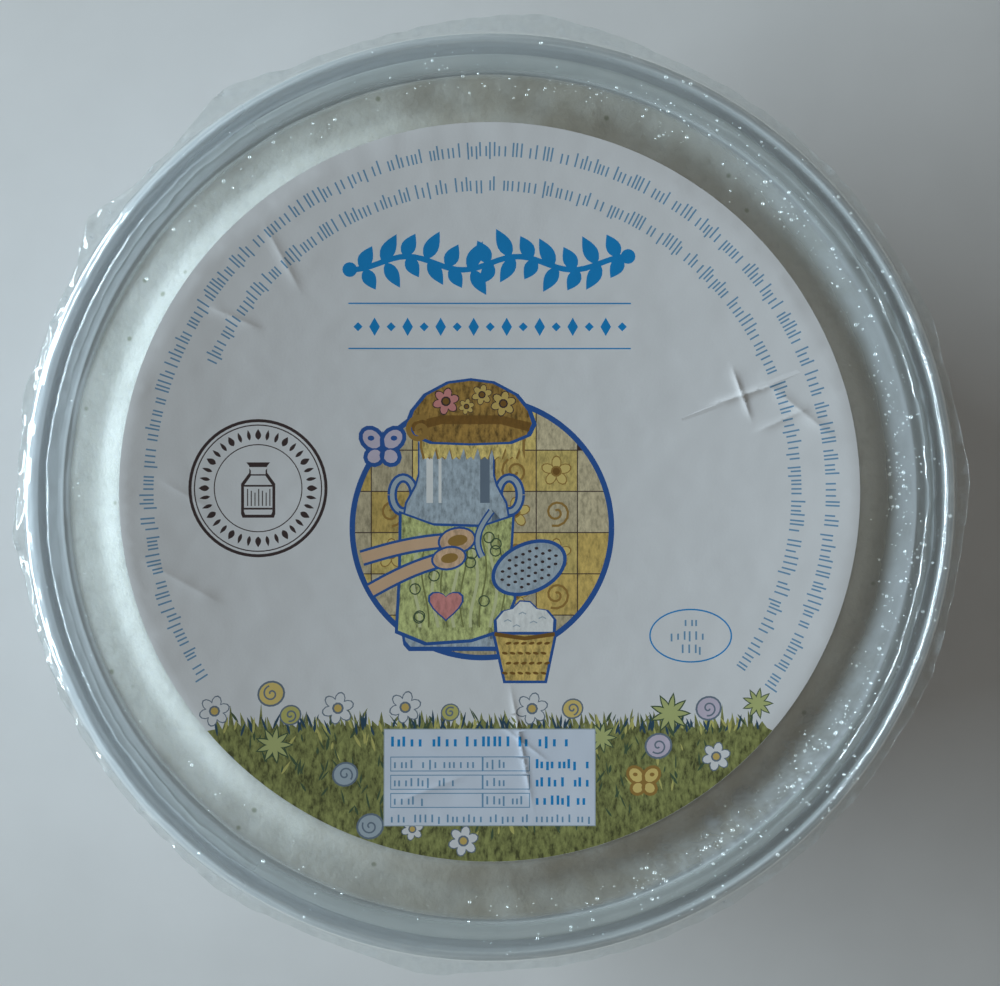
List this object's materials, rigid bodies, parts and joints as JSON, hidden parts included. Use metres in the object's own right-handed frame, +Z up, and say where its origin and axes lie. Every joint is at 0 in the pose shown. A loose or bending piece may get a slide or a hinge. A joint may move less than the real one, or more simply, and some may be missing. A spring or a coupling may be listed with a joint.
{
  "type": "sealed ricotta tub",
  "caption": "Sealed round tub of fresh ricotta: translucent flanged tub, slotted draining basket inside, clear film lid and a round printed label on top.",
  "frame": {"origin": "on the tub's axis, in the plane of the foot ring that it stands on", "axes": "+Z up along the tub's axis; the label reads upright from -Y, with +X to the reader's right"},
  "size_m": [0.1292, 0.1299, 0.0712],
  "materials": {
    "tub_plastic": "natural translucent polypropylene, satin outside, smooth flange",
    "basket_plastic": "thin translucent white polypropylene, wet",
    "cheese": "fresh soft cheese, moist and smooth, ivory white",
    "lid_film": "clear glossy sealing film, crinkled at its trimmed edge, with droplets of whey",
    "label_paper": "coated white paper with blue, green and ochre print"
  },
  "bodies": {
    "root": {"tub": "tub_plastic", "basket": "basket_plastic", "ricotta": "cheese", "film": "lid_film", "label": "label_paper"}
  },
  "joints": []
}
